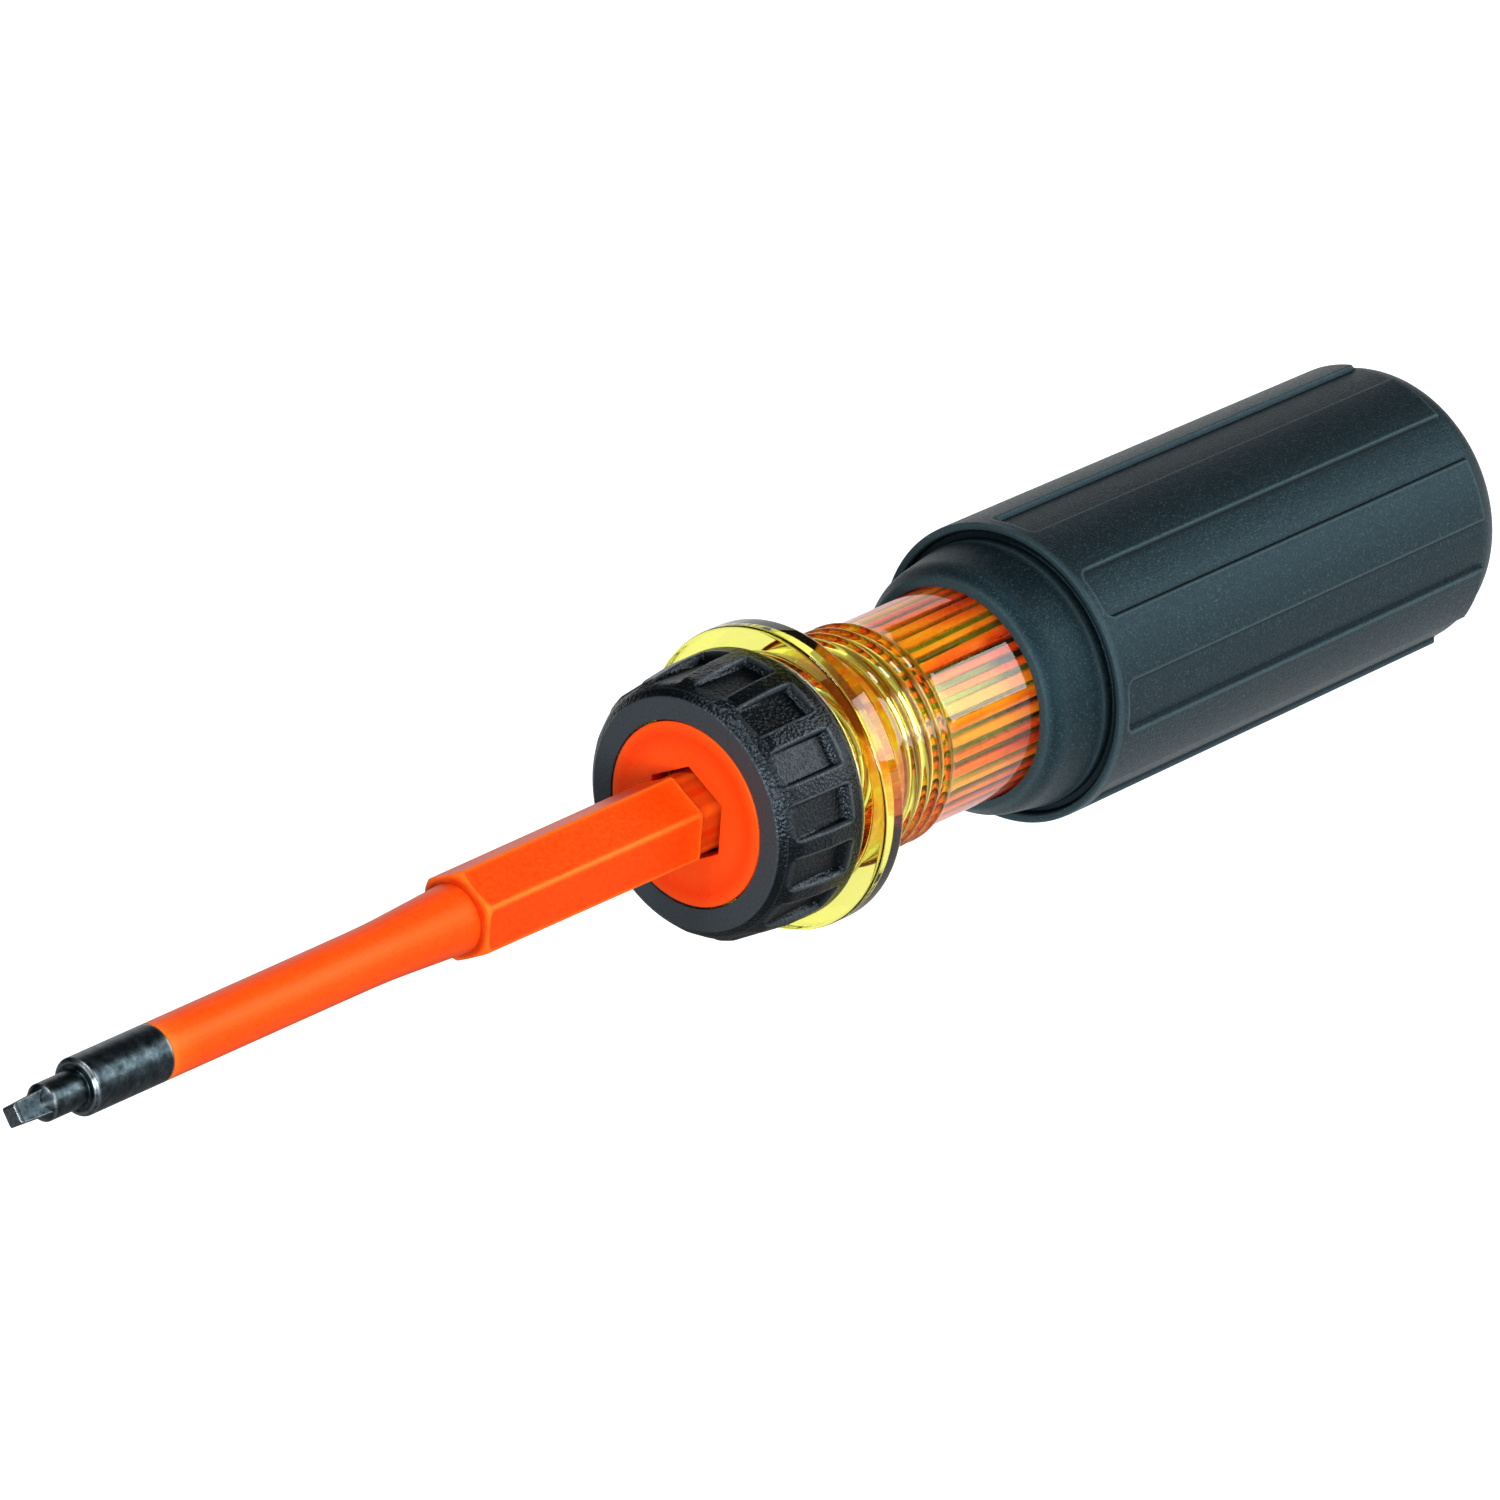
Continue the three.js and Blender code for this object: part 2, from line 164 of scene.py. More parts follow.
def surface(name, X, R, theta, closed=False, cap0=False, cap1=False, sharp=38.0, gain=1.0):
    """Mesh from station grid X, R (stations by angles, mm) about the tool axis."""
    S, N = R.shape
    t = np.radians(theta)[None, :]
    P = np.stack([X0 + X * MM, YC + R * np.cos(t) * MM, ZC + R * np.sin(t) * MM], axis=-1).reshape(-1, 3)
    verts = P
    idx = np.arange(S * N).reshape(S, N)
    rows = S if closed else S - 1
    faces = []
    for s in range(rows):
        a = idx[s]; b = idx[(s + 1) % S]
        faces.append(np.stack([a, np.roll(a, -1), np.roll(b, -1), b], axis=1))
    F = np.concatenate(faces)
    tri = []
    extra = []
    for flag, row, xs in ((cap0, 0, X[0].mean()), (cap1, S - 1, X[-1].mean())):
        if flag:
            k = len(verts) + len(extra)
            extra.append([X0 + xs * MM, YC, ZC])
            ring = idx[row]
            nxt = np.roll(ring, -1)
            if row == 0:
                tri += [(k, int(n2), int(n1)) for n1, n2 in zip(ring, nxt)]
            else:
                tri += [(k, int(n1), int(n2)) for n1, n2 in zip(ring, nxt)]
    if extra:
        verts = np.concatenate([verts, np.array(extra)])
    # signed volume decides the winding
    def vol(a, b, d):
        return np.einsum("ij,ij->i", verts[a], np.cross(verts[b], verts[d])).sum() / 6
    v = vol(F[:, 0], F[:, 1], F[:, 2]) + vol(F[:, 0], F[:, 2], F[:, 3])
    if tri:
        T = np.array(tri)
        v += vol(T[:, 0], T[:, 1], T[:, 2])
    if v < 0:
        F = F[:, ::-1]
        tri = [(q[0], q[2], q[1]) for q in tri]
    me = bpy.data.meshes.new(name)
    me.from_pydata(verts.tolist(), [], F.tolist() + [list(q) for q in tri])
    me.update()
    me.validate()
    me.shade_smooth()
    me.set_sharp_from_angle(angle=math.radians(sharp))
    add_wear_highlight_shade_masks(me, gain=gain)
    ob = bpy.data.objects.new(name, me)
    bpy.context.scene.collection.objects.link(ob)
    return ob


def revolve(name, profile, n=128, closed=True, cap0=False, cap1=False, sharp=38.0, gain=1.0):
    th = np.arange(n) * 360.0 / n
    X = np.repeat(profile[:, 0][:, None], n, axis=1)
    R = np.repeat(profile[:, 1][:, None], n, axis=1)
    return surface(name, X, R, th, closed, cap0, cap1, sharp, gain)


# ------------------------------------------------------------------ material helpers
class Mat:
    def __init__(self, name):
        self.m = bpy.data.materials.new(name)
        self.m.use_nodes = True
        self.t = self.m.node_tree
        self.b = self.t.nodes["Principled BSDF"]
        self.out = self.t.nodes["Material Output"]
        self.co = self.node("ShaderNodeTexCoord").outputs["Object"]

    def node(self, kind, **kw):
        n = self.t.nodes.new(kind)
        for k, v in kw.items():
            setattr(n, k, v)
        return n

    def link(self, a, b):
        self.t.links.new(a, b)

    def set(self, **kw):
        for k, v in kw.items():
            self.b.inputs[k.replace("_", " ")].default_value = v

    def noise(self, scale, detail=2.0, rough=0.5, vec=None, dist=0.0):
        n = self.node("ShaderNodeTexNoise")
        n.inputs["Scale"].default_value = scale
        n.inputs["Detail"].default_value = detail
        n.inputs["Roughness"].default_value = rough
        n.inputs["Distortion"].default_value = dist
        self.link(vec or self.co, n.inputs["Vector"])
        return n.outputs["Fac"]

    def voronoi(self, scale, vec=None, feature="F1"):
        n = self.node("ShaderNodeTexVoronoi", feature=feature)
        n.inputs["Scale"].default_value = scale
        self.link(vec or self.co, n.inputs["Vector"])
        return n.outputs["Distance"]

    def stretch(self, sx, sy, sz):
        n = self.node("ShaderNodeMapping")
        n.inputs["Scale"].default_value = (sx, sy, sz)
        self.link(self.co, n.inputs["Vector"])
        return n.outputs["Vector"]

    def ramp(self, fac, stops):
        n = self.node("ShaderNodeValToRGB")
        el = n.color_ramp.elements
        while len(el) < len(stops):
            el.new(0.5)
        for e, (pos, col) in zip(el, stops):
            e.position = pos
            e.color = (*col, 1.0) if len(col) == 3 else col
        self.link(fac, n.inputs["Fac"])
        return n.outputs["Color"]

    def mix(self, fac, a, b, blend="MIX"):
        n = self.node("ShaderNodeMix", data_type="RGBA", blend_type=blend)
        for sock, v in ((n.inputs[0], fac), (n.inputs[6], a), (n.inputs[7], b)):
            if hasattr(v, "is_output"):
                self.link(v, sock)
            else:
                sock.default_value = v if isinstance(v, float) else (*v, 1.0)
        return n.outputs[2]

    def map(self, fac, a0, a1, b0, b1):
        n = self.node("ShaderNodeMapRange")
        for i, v in enumerate((a0, a1, b0, b1)):
            n.inputs[i + 1].default_value = v
        self.link(fac, n.inputs[0])
        return n.outputs[0]

    def math(self, op, a, b=0.5):
        n = self.node("ShaderNodeMath", operation=op)
        for i, v in enumerate((a, b)):
            if hasattr(v, "is_output"):
                self.link(v, n.inputs[i])
            else:
                n.inputs[i].default_value = v
        return n.outputs[0]

    def attr(self, name):
        n = self.node("ShaderNodeAttribute", attribute_name=name)
        return n.outputs["Fac"]

    def bump(self, height, dist, strength=1.0, normal=None):
        n = self.node("ShaderNodeBump")
        n.inputs["Distance"].default_value = dist
        n.inputs["Strength"].default_value = strength
        self.link(height, n.inputs["Height"])
        if normal is not None:
            self.link(normal, n.inputs["Normal"])
        self.link(n.outputs["Normal"], self.b.inputs["Normal"])
        return n.outputs["Normal"]

    def color(self, sock):
        self.link(sock, self.b.inputs["Base Color"])

    def rough(self, sock):
        self.link(sock, self.b.inputs["Roughness"])


def rubber():
    m = Mat("grip_rubber")
    grain = m.noise(3600, 3.0, 0.65)
    broad = m.noise(60, 2.0)
    base = m.ramp(m.noise(4600, 2.0, 0.6), [(0.30, (0.0012, 0.0036, 0.0048)), (0.56, (0.0032, 0.0080, 0.0105)), (0.72, (0.034, 0.060, 0.072))])
    base = m.mix(m.map(broad, 0.3, 0.7, 0.0, 0.25), base, (0.0030, 0.0075, 0.0098))
    # painted highlight: convex edges are mixed toward a light blue-grey, standing in for the thin bright lines that
    # light draws along the panel edges
    base = m.mix(m.math("MULTIPLY", m.attr("edge"), 0.42), base, (0.055, 0.090, 0.105))
    # painted shade: concave places such as creases and recess corners are darkened
    base = m.mix(m.math("MULTIPLY", m.attr("hollow"), 0.9), base, (0.0010, 0.0016, 0.0020))
    m.color(base)
    m.rough(m.map(grain, 0.3, 0.7, 0.36, 0.54))
    m.set(Specular_IOR_Level=0.30, Specular_Tint=(0.36, 0.78, 1.0, 1.0))
    m.bump(grain, 0.00008, 0.9)
    return m.m


def collar_plastic():
    m = Mat("collar_plastic")
    peb = m.voronoi(2700)
    fine = m.noise(5200, 2.0, 0.6)
    h = m.math("ADD", m.math("MULTIPLY", peb, 0.9), m.math("MULTIPLY", fine, 0.5))
    # painted glints: the light flecks on the pebble tops stand in for the sparkle of light on the pebbled surface
    base = m.mix(m.map(peb, 0.05, 0.32, 1.0, 0.0), (0.0010, 0.0014, 0.0018), m.ramp(fine, [(0.42, (0.0028, 0.0038, 0.0048)), (0.62, (0.020, 0.028, 0.035))]))
    # painted highlight: sharp convex edges are mixed toward a light blue-grey, standing in for the thin highlights
    # along the flute edges
    base = m.mix(m.map(m.attr("edge"), 0.55, 1.0, 0.0, 0.38), base, (0.090, 0.112, 0.130))
    # painted shade: concave places such as the flute corners are darkened
    base = m.mix(m.math("MULTIPLY", m.attr("hollow"), 0.8), base, (0.0004, 0.0005, 0.0007))
    m.color(base)
    m.rough(m.map(fine, 0.3, 0.7, 0.24, 0.38))
    m.set(Specular_IOR_Level=0.32, Specular_Tint=(0.66, 0.84, 1.0, 1.0))
    m.bump(h, 0.00010, 0.75)
    return m.m


def orange_plastic(name, a, b, hi, rough0, rough1, painted_crevice_shade=0.0):
    m = Mat(name)
    grain = m.noise(2300, 3.0, 0.6)
    broad = m.noise(90, 2.0)
    base = m.ramp(grain, [(0.30, a), (0.70, b)])
    base = m.mix(m.map(broad, 0.35, 0.65, 0.0, 0.18), base, a)
    # painted highlight: convex edges are mixed toward the lighter hi colour, standing in for the highlights along the
    # hex and rim edges
    base = m.mix(m.math("MULTIPLY", m.attr("edge"), 0.35), base, hi)
    # painted shade: concave places such as the groove at the hex end are darkened toward deep red, by the crevice shade
    # strength
    base = m.mix(m.math("MULTIPLY", m.attr("hollow"), painted_crevice_shade), base, (0.40, 0.010, 0.001))
    m.color(base)
    m.rough(m.map(grain, 0.3, 0.7, rough0, rough1))
    m.set(Specular_IOR_Level=0.26, Specular_Tint=(1.0, 0.80, 0.12, 1.0))
    m.bump(grain, 0.00006, 0.6)
    return m.m


def amber():
    m = Mat("handle_amber")
    m.set(Transmission_Weight=1.0, Roughness=0.015, IOR=1.49)
    streak = m.noise(60, 2.0, 0.5, m.stretch(0.25, 1.0, 1.0))
    clear = m.ramp(streak, [(0.3, (0.92, 0.92, 0.20)), (0.7, (0.96, 0.95, 0.28))])
    sep = m.node("ShaderNodeSeparateXYZ")
    m.link(m.co, sep.inputs[0])
    x = sep.outputs[0]
    # painted shade: a dark olive tint on the ridge crests stands in for the dark bands the ridges show by refraction
    painted_crest_shade = m.math("COSINE", m.math("MULTIPLY", m.math("ADD", x, 0.021975 - X0), 2 * math.pi / 0.00175))
    painted_crest_shade = m.map(painted_crest_shade, -0.05, 0.45, 0.0, 1.0)
    painted_crest_shade = m.math("MULTIPLY", painted_crest_shade, m.map(x, X0 - 0.0212, X0 - 0.0213, 0.0, 1.0))
    painted_crest_shade = m.math("MULTIPLY", painted_crest_shade, m.map(x, X0 - 0.0282, X0 - 0.0281, 0.0, 1.0))
    m.color(m.mix(painted_crest_shade, clear, (0.28, 0.22, 0.022)))
    wav = m.noise(140, 1.5, 0.4)
    m.bump(wav, 0.00012, 0.25)
    vol = m.node("ShaderNodeVolumeAbsorption")
    vol.inputs["Color"].default_value = (0.93, 0.90, 0.08, 1.0)
    vol.inputs["Density"].default_value = 28.0
    m.link(vol.outputs[0], m.out.inputs["Volume"])
    return m.m


def steel(name, dark, mid, bright, r0, r1, wear):
    m = Mat(name)
    m.set(Metallic=1.0)
    mott = m.noise(900, 5.0, 0.62)
    fine = m.noise(2600, 3.0, 0.6)
    turn = m.noise(500, 2.0, 0.5, m.stretch(9.0, 0.6, 0.6))
    base = m.ramp(mott, [(0.32, dark), (0.55, mid), (0.80, bright)])
    e = m.map(m.math("MULTIPLY", m.attr("edge"), m.map(fine, 0.3, 0.6, 0.4, 1.3)), 0.12, 0.75, 0.0, wear)
    base = m.mix(e, base, (0.42, 0.47, 0.50))
    m.color(base)
    m.rough(m.map(fine, 0.3, 0.7, r0, r1))
    m.bump(m.math("ADD", m.math("MULTIPLY", fine, 0.5), m.math("MULTIPLY", turn, 0.5)), 0.00002, 0.6)
    return m.m


def white_plastic():
    m = Mat("underlayer_white")
    g = m.noise(1200, 2.0)
    m.color(m.ramp(g, [(0.3, (0.80, 0.78, 0.70)), (0.7, (0.90, 0.88, 0.82))]))
    m.rough(m.map(g, 0.3, 0.7, 0.4, 0.55))
    m.bump(g, 0.00002, 0.4)
    return m.m


RUBBER = rubber()
COLLAR = collar_plastic()
# the last value is the strength of the painted shade in the sleeve's hollows
ORANGE = orange_plastic("insulation_orange", (0.90, 0.040, 0.0012), (1.0, 0.072, 0.0022), (1.0, 0.30, 0.03), 0.34, 0.46, 0.7)
PLATE_ORANGE = orange_plastic("plate_orange", (0.90, 0.024, 0.0012), (1.0, 0.038, 0.0020), (1.0, 0.16, 0.02), 0.36, 0.48)
def liner_plastic():
    m = Mat("liner_orange")
    grain = m.noise(900, 3.0, 0.6)
    tone = m.noise(420, 2.0, 0.5, m.stretch(0.10, 1.0, 1.0))
    sep = m.node("ShaderNodeSeparateXYZ")
    m.link(m.co, sep.inputs[0])
    x = sep.outputs[0]
    # painted shadow: along x the ribs shift from dark red near the nose to warm orange and yellow toward the ridges,
    # standing in for the shadow the grip casts into the neck; red and warm are the shaded and lit versions of one rib
    # colour
    painted_grip_shadow_fade = m.map(x, X0 - 0.049, X0 - 0.030, 0.0, 1.0)
    warm = m.ramp(tone, [(0.34, (0.95, 0.085, 0.003)), (0.50, (1.0, 0.22, 0.006)), (0.64, (1.0, 0.45, 0.02))])
    red = m.ramp(tone, [(0.34, (0.42, 0.006, 0.002)), (0.50, (0.85, 0.025, 0.003)), (0.66, (1.0, 0.12, 0.006))])
    # painted shade: the gaps between the ribs get near-black and olive colours standing in for the shade in the gaps,
    # darker still where the painted grip shadow falls
    gap_far = m.ramp(tone, [(0.40, (0.012, 0.006, 0.001)), (0.65, (0.05, 0.035, 0.003))])
    gap_near = m.ramp(tone, [(0.40, (0.045, 0.038, 0.003)), (0.62, (0.40, 0.52, 0.02))])
    neck = m.mix(m.attr("rib"), m.mix(painted_grip_shadow_fade, gap_far, gap_near), m.mix(painted_grip_shadow_fade, red, warm))
    # under the ridges: orange and yellow, with olive rings that are painted shade standing in for the dark bands seen
    # through the ridge crests
    patch = m.noise(260, 2.0, 0.6)
    under = m.mix(m.map(m.attr("rib"), 0.0, 1.0, 0.35, 0.65), m.ramp(patch, [(0.40, (1.0, 0.34, 0.012)), (0.60, (1.0, 0.78, 0.08))]),
                  m.ramp(patch, [(0.38, (0.85, 0.09, 0.004)), (0.60, (1.0, 0.40, 0.015))]))
    ring = m.math("COSINE", m.math("MULTIPLY", m.math("ADD", x, 0.023475 - X0), 2 * math.pi / 0.00175))
    ring = m.math("MULTIPLY", m.map(ring, -0.15, 0.35, 0.0, 1.0), m.map(x, X0 - 0.0221, X0 - 0.0225, 0.0, 1.0))
    under = m.mix(ring, under, m.ramp(patch, [(0.4, (0.060, 0.042, 0.002)), (0.62, (0.17, 0.15, 0.008))]))
    red_band = m.math("MULTIPLY", m.map(x, X0 - 0.0188, X0 - 0.0180, 0.0, 1.0), m.map(m.noise(75, 1.0), 0.47, 0.52, 0.0, 1.0))
    under = m.mix(red_band, under, (0.24, 0.006, 0.002))
    body = m.mix(m.map(x, X0 - 0.0297, X0 - 0.0293, 0.0, 1.0), neck, under)
    m.color(m.mix(m.attr("skin"), (0.40, 0.022, 0.002), body))
    # painted glow: the liner weakly emits its own colour so that it reads brighter through the amber, though it is no
    # lamp
    m.link(m.mix(m.attr("skin"), (0.0, 0.0, 0.0), body), m.b.inputs["Emission Color"])
    m.set(Emission_Strength=0.18)
    m.rough(m.map(grain, 0.3, 0.7, 0.22, 0.36))
    m.bump(grain, 0.00002, 0.5)
    return m.m


LINER = liner_plastic()
AMBER = amber()
BLACK_STEEL = steel("blade_steel", (0.014, 0.021, 0.025), (0.050, 0.072, 0.084), (0.120, 0.160, 0.175), 0.28, 0.42, 0.34)
SPRING = steel("spring_steel", (0.42, 0.42, 0.43), (0.55, 0.55, 0.56), (0.68, 0.68, 0.68), 0.22, 0.34, 0.3)
WHITE = white_plastic()


def dress(ob, mat, body, slot, *nodes):
    ob.data.materials.clear()
    ob.data.materials.append(mat)
    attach(ob, body)
    if nodes:
        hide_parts(*nodes)


# ------------------------------------------------------------------ cushion grip
GRIP_PANELS = 8
RECESS_HALF = 10.25


def build_grip():
    outer = fillet([
        (-41.3, 11.4, 0), (-41.3, 12.25, 1.1), (-43.0, 13.45, 2.6), (-48.15, 14.22, 0.22),
        (-49.5, 14.15, 0.3), (-49.6, 14.95, 0.3), (-48.75, 15.2, 0.3), (-48.5, 15.99, 0.55), (-52.0, 16.0, 0.5),
        (-108.3, 15.6, 0.0), (-108.3, 15.6, 0.0)], seg=5)
    th = angles_around([k * 45 + s * RECESS_HALF for k in range(GRIP_PANELS) for s in (-1, 1)], 3.2, 0.32, 2.4)
    # stations: nose and rim from the profile, body by x, dome by arc
    k0 = int(np.argmax(outer[:, 1] > 15.95))
    nose = densify(np.vstack([outer[:k0 + 1], [[-49.4, 16.0]]]), 0.45)
    xs = np.concatenate([np.arange(-49.7, -53.2, -0.16), np.linspace(-53.5, -106.6, 44), np.arange(-106.8, -109.2, -0.13)])
    X, R = [], []
    for x, r in nose:
        X.append(np.full(len(th), x)); R.append(np.full(len(th), r))
    def base_r(x):
        return 16.0 + (15.6 - 16.0) * np.clip((-50.0 - x) / 58.3, 0, 1.0)
    off = (th + 22.5) % 45 - 22.5                       # degrees from the nearest recess centre
    D_END = 0.6
    for x in xs:
        full = base_r(x)
        dome_r = full - D_END
        if x < -108.3:
            s = (-108.3 - x) / 4.5
            dome_r = 15.0 - 4.5 * (1 - math.sqrt(max(0.0, 1 - min(s, 1.0) ** 2)))
        arc = np.radians(RECESS_HALF - np.abs(off)) * full          # mm inside the recess edge
        rc = 1.0                                                     # corner radius
        lon = (-50.15 - x)
        a_ = rc - arc; b_ = rc - lon
        corner = rc - np.hypot(np.maximum(a_, 0), np.maximum(b_, 0)) + np.minimum(np.maximum(-a_, -b_) * 0, 0)
        sd = np.where((a_ > 0) & (b_ > 0), corner, np.minimum(arc, lon))
        upper = off > 0                                              # the edge on the +angle side; both edges get the same width
        width = np.where(upper, 0.34, 0.34)
        m = smooth((sd + 0.05) / width)
        # panels end with a small step onto the dome
        endm = smooth((-108.15 - x) / 0.3)
        m = np.maximum(m, endm)
        r = full - m * (full - dome_r)
        X.append(np.full(len(th), x)); R.append(r)
    for a in np.linspace(0, 90, 15)[1:]:
        s = math.sin(math.radians(a))
        x = -108.3 - 4.5 * s
        if x > xs[-1] - 0.05:
            continue
        r = 15.0 - 4.5 * (1 - math.cos(math.radians(a)))
        X.append(np.full(len(th), x)); R.append(np.full(len(th), r))
    X.append(np.full(len(th), -112.8)); R.append(np.full(len(th), 6.0))
    # end cap, then back inside the cavity
    outer_X, outer_R = np.array(X), np.array(R)
    oct_r = polygon_radius(th, 8, 13.15 * math.cos(math.radians(22.5)), 22.5, 80)
    inner = [(-107.6, 0.02), (-107.6, None), (-46.6, None), (-46.6, 11.4)]
    IX, IR = [], []
    for x, r in inner:
        IX.append(np.full(len(th), x)); IR.append(oct_r.copy() if r is None else np.full(len(th), r))
    # the butt closes at its centre; the cavity floor closes at its own centre
    return outer_X, outer_R, np.array(IX), np.array(IR), th


gx, gr, ix, ir, th = build_grip()
# one closed shell: cavity floor centre -> cavity -> nose -> body -> butt centre
GX = np.concatenate([ix, gx]); GR = np.concatenate([ir, gr])
grip = surface("cushion_grip_rubber", GX, GR, th, closed=False, cap0=True, cap1=True, sharp=50, gain=1.0)
dress(grip, RUBBER, "handle", "grip_rubber", "cushion_grip")

# ------------------------------------------------------------------ clear handle core
ridge = []
for i in range(4 * 14 + 1):
    ph_ = i / 14.0
    ridge.append((-21.1 - 1.75 * ph_, 11.55 - 0.26 * math.cos(2 * math.pi * ph_), 0))
core_outer = fillet([
    (-3.4, 8.95, 0), (-3.4, 12.0, 0.3), (-7.35, 12.0, 0), (-7.35, 11.55, 0), (-8.65, 11.55, 0), (-8.65, 12.0, 0),
    (-12.1, 12.0, 0.0), (-12.1, 16.0, 0.45), (-15.1, 16.0, 0.55), (-15.1, 12.75, 0.5), (-17.2, 11.95, 2.2), (-20.4, 11.35, 0.5),
    *ridge, (-29.2, 11.2, 0.6), (-47.0, 11.2, 0), (-47.0, 11.2, 0)], seg=6)
th8 = np.arange(256) * 360.0 / 256
CX = [np.full(256, x) for x, _ in core_outer]
CR = [np.full(256, r) for _, r in core_outer]
o8 = polygon_radius(th8, 8, 12.9 * math.cos(math.radians(22.5)), 22.5, 80)
for x, s in ((-47.02, 1.0), (-104.0, 1.0), (-107.0, 0.83)):
    CX.append(np.full(256, x)); CR.append(o8 * s)
# rear end, then the bore back to the front
OX = np.array(CX); OR = np.array(CR)
# stations run: bore floor centre -> bore -> front -> outside -> rear centre
BX = np.array([np.full(256, x) for x in (-102.5, -102.5, -29.6, -29.4)])
BR = np.array([np.full(256, r) for r in (0.02, 7.82, 7.82, 8.95)])
core = surface("handle_core_clear", np.concatenate([BX, OX]), np.concatenate([BR, OR]), th8,
               closed=False, cap0=True, cap1=True, sharp=40)
dress(core, AMBER, "handle", "handle_amber", "handle_core")

# ------------------------------------------------------------------ ribbed liner seen through it
RIBS = 36
rng = np.random.default_rng(7)
rib_half = rng.uniform(0.22, 0.40, RIBS)
tl = np.arange(RIBS * 16) * 360.0 / (RIBS * 16)
ph = (tl % (360.0 / RIBS)) / (360.0 / RIBS)
rib_no = np.floor(tl / (360.0 / RIBS) + 1e-6).astype(int) % RIBS
rib = smooth((rib_half[rib_no] - np.abs(ph - 0.5)) / 0.09 + 0.5)
lr = 7.9 + 0.8 * rib
hexl = polygon_radius(tl, 6, 4.75, 25, 60)
LX, LR = [], []
for x, r in ((-99.5, np.full(len(tl), 0.02)), (-99.5, np.full(len(tl), 4.2)), (-36.6, np.full(len(tl), 4.2)),
             (-36.5, hexl), (-4.0, hexl), (-3.6, hexl + 0.35), (-3.6, lr - 0.3), (-3.9, lr), (-14.6, lr), (-15.0, np.full(len(tl), 8.7)), (-29.2, np.full(len(tl), 8.7)), (-29.4, lr), (-60.0, lr),
             (-101.7, lr), (-102.0, lr - 0.3)):
    LX.append(np.full(len(tl), x)); LR.append(r)
liner = surface("socket_liner_ribbed", np.array(LX), np.array(LR), tl, closed=False, cap0=True, cap1=True, sharp=40)
rib_of = np.zeros((len(LX), len(tl)))
for k_, (xv, rv) in enumerate(zip(LX, LR)):
    if rv.min() > 7.0:
        rib_of[k_] = rib
skin_at = liner.data.attributes.new("skin", "FLOAT", "POINT")
skin_vals = np.zeros(len(liner.data.vertices), np.float32)
skin_vals[:rib_of.size] = np.repeat([1.0 if rv.min() > 7.0 else 0.0 for rv in LR], len(tl))
skin_at.data.foreach_set("value", skin_vals)
rib_at = liner.data.attributes.new("rib", "FLOAT", "POINT")
rib_vals = np.zeros(len(liner.data.vertices), np.float32)
rib_vals[:rib_of.size] = rib_of.reshape(-1)
rib_at.data.foreach_set("value", rib_vals)
dress(liner, LINER, "handle", "liner_orange", "socket_liner")

# ------------------------------------------------------------------ twist collar
FLUTES, FLUTE_PHASE = 15, 33.7
FH = math.degrees(1.95 / 14.0)                       # half width of a flute


def build_collar():
    prof = fillet([
        (0.0, 9.9, 0.12), (0.0, 12.15, 0.35), (-0.75, 13.0, 1.0), (-1.9, 13.85, 1.6), (-6.0, 14.28, 6.0),
        (-10.7, 14.3, 0.5), (-11.4, 13.75, 0.35), (-11.4, 12.25, 0.1),
        (-8.65, 12.25, 0), (-8.65, 12.85, 0), (-7.35, 12.85, 0), (-7.35, 12.25, 0),
        (-3.1, 12.25, 0), (-3.1, 9.9, 0.1)], seg=6, closed=True)
    # split at the outside so that the fluted part can be refined
    i0 = int(np.argmin(np.abs(prof[:, 0]) + np.abs(prof[:, 1] - 12.1)))
    out = []
    for k, (p, q) in enumerate(zip(prof, np.roll(prof, -1, axis=0))):
        out.append(p)
        if p[1] > 12.0 and q[1] > 12.0 and min(p[0], q[0]) > -11.3:
            L = np.linalg.norm(q - p)
            fine = 0.12 if (-9.6 < p[0] < -8.0 or -9.6 < q[0] < -8.0) and p[1] > 13.5 else 0.3
            n = max(1, int(math.ceil(L / fine))) if p[1] > 12.9 or q[1] > 12.9 else 1
            for j in range(1, n):
                out.append(p + (q - p) * j / n)
    prof = np.array(out)
    th = angles_around([FLUTE_PHASE + k * 24 + s * FH for k in range(FLUTES) for s in (-1, 1)], 2.1, 0.42, 1.6)
    off = (th - FLUTE_PHASE + 12) % 24 - 12
    X, R = [], []
    for x, r in prof:
        rr = np.full(len(th), r)
        if r > 12.6 and x > -10.6:
            arc = np.radians(FH - np.abs(off)) * 14.0
            lon = x + 9.05
            sd = np.minimum(arc, lon)
            a_, b_ = 0.35 - arc, 0.35 - lon
            sd = np.where((a_ > 0) & (b_ > 0), 0.35 - np.hypot(np.maximum(a_, 0), np.maximum(b_, 0)), sd)
            m = smooth((sd + 0.06) / 0.36)
            floor = 13.36 / np.cos(np.radians(np.minimum(np.abs(off), FH)))      # flat floor
            floor = floor - 0.12 * smooth((-3.0 - x) / 5.5)
            rr = r - m * np.maximum(r - floor, 0)
        X.append(np.full(len(th), x)); R.append(rr)
    return np.array(X), np.array(R), th


cx_, cr_, cth = build_collar()
collar = surface("collar_ring_fluted", cx_, cr_, cth, closed=True, sharp=45)
dress(collar, COLLAR, "lock_collar", "collar_plastic", "collar_ring")

